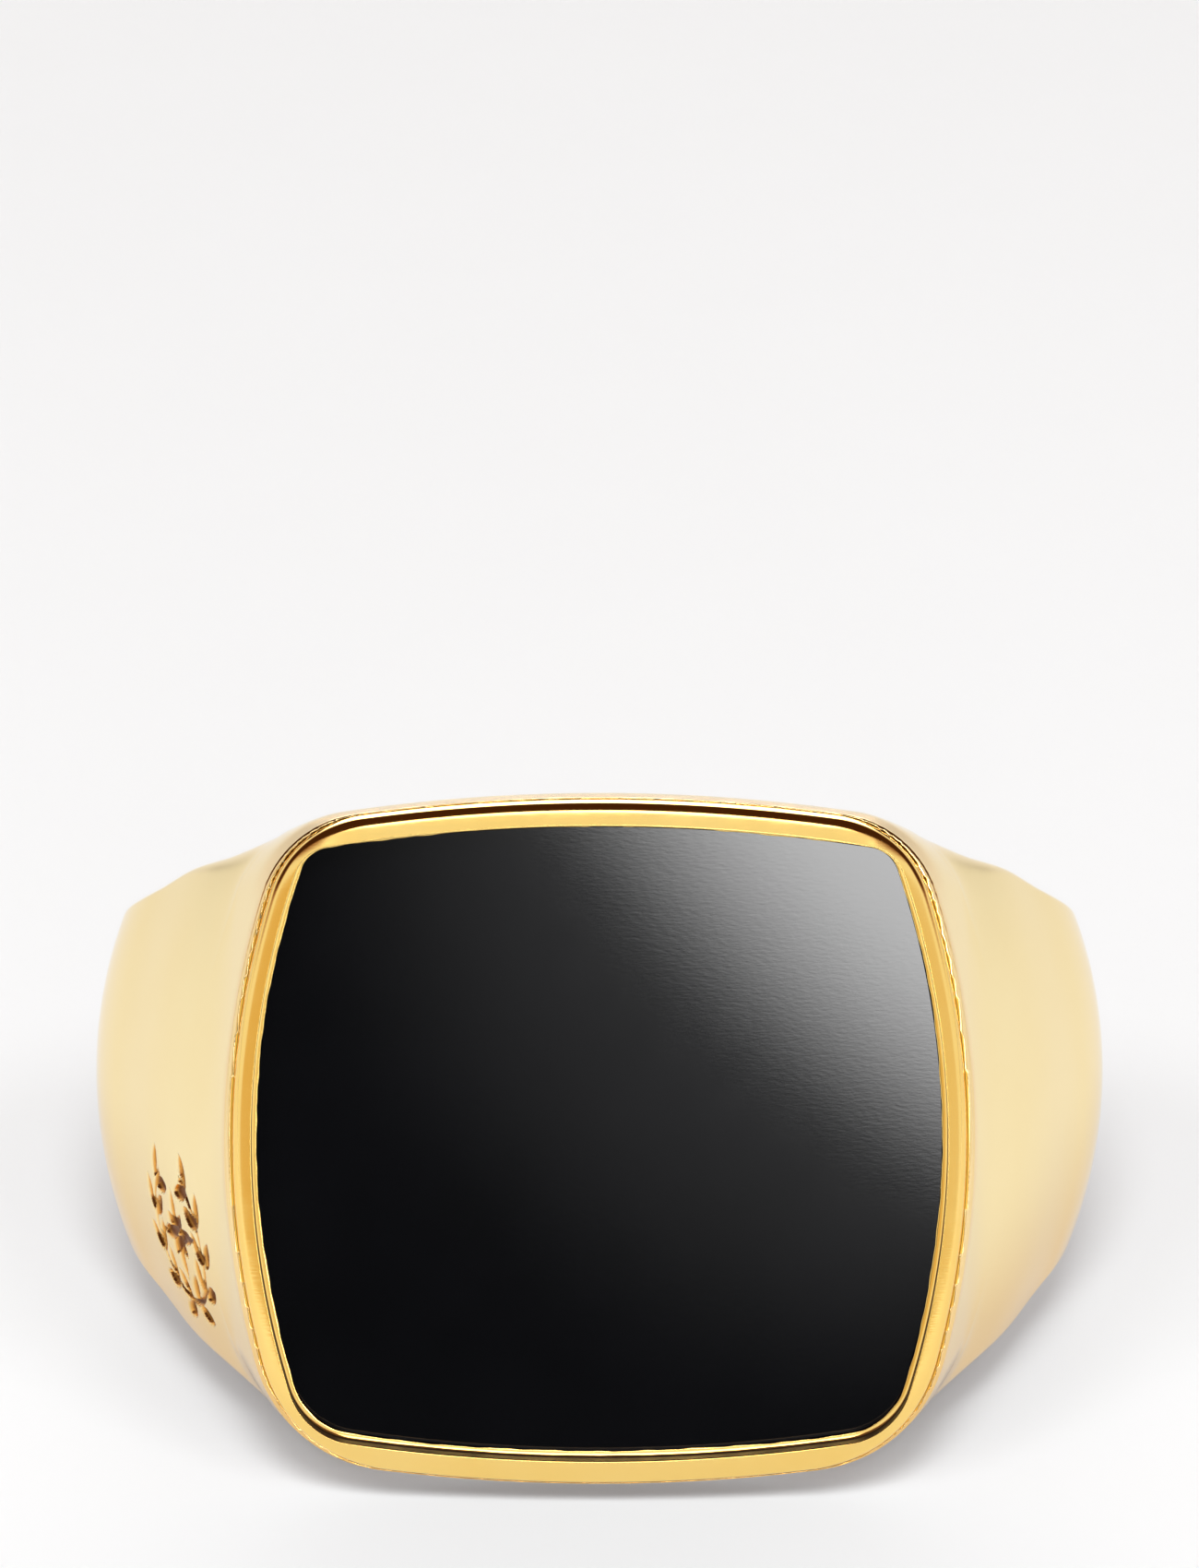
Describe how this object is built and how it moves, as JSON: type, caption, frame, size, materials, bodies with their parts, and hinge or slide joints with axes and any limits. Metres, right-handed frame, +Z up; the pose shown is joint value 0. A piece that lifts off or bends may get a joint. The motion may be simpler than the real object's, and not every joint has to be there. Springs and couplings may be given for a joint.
{
  "type": "signet ring",
  "caption": "Signet ring lying on its side: tapered band with shoulders, cushion-shaped head, narrow raised rim and a flat black onyx tablet.",
  "frame": {"origin": "bottom centre of the ring as it lies on its side on Z = 0, resting on the edge of its head and on the back of its band", "axes": "+Z up from the surface it lies on, -Y towards the side the head faces, +X to the right of the head; the finger hole leans 13.8 degrees back from +Z"},
  "size_m": [0.024, 0.0262, 0.0161],
  "materials": {
    "gold_plate": "polished",
    "gold_plate_rim": "polished",
    "unplated_metal": "satin",
    "solder": "satin",
    "setting_cement": "matte",
    "onyx": "polished"
  },
  "bodies": {
    "root": {"shank": "gold_plate", "collet": "gold_plate_rim", "back_plate": "unplated_metal", "cement_bed": "setting_cement", "onyx_tablet": "onyx", "solder_seam": "solder"}
  },
  "joints": []
}
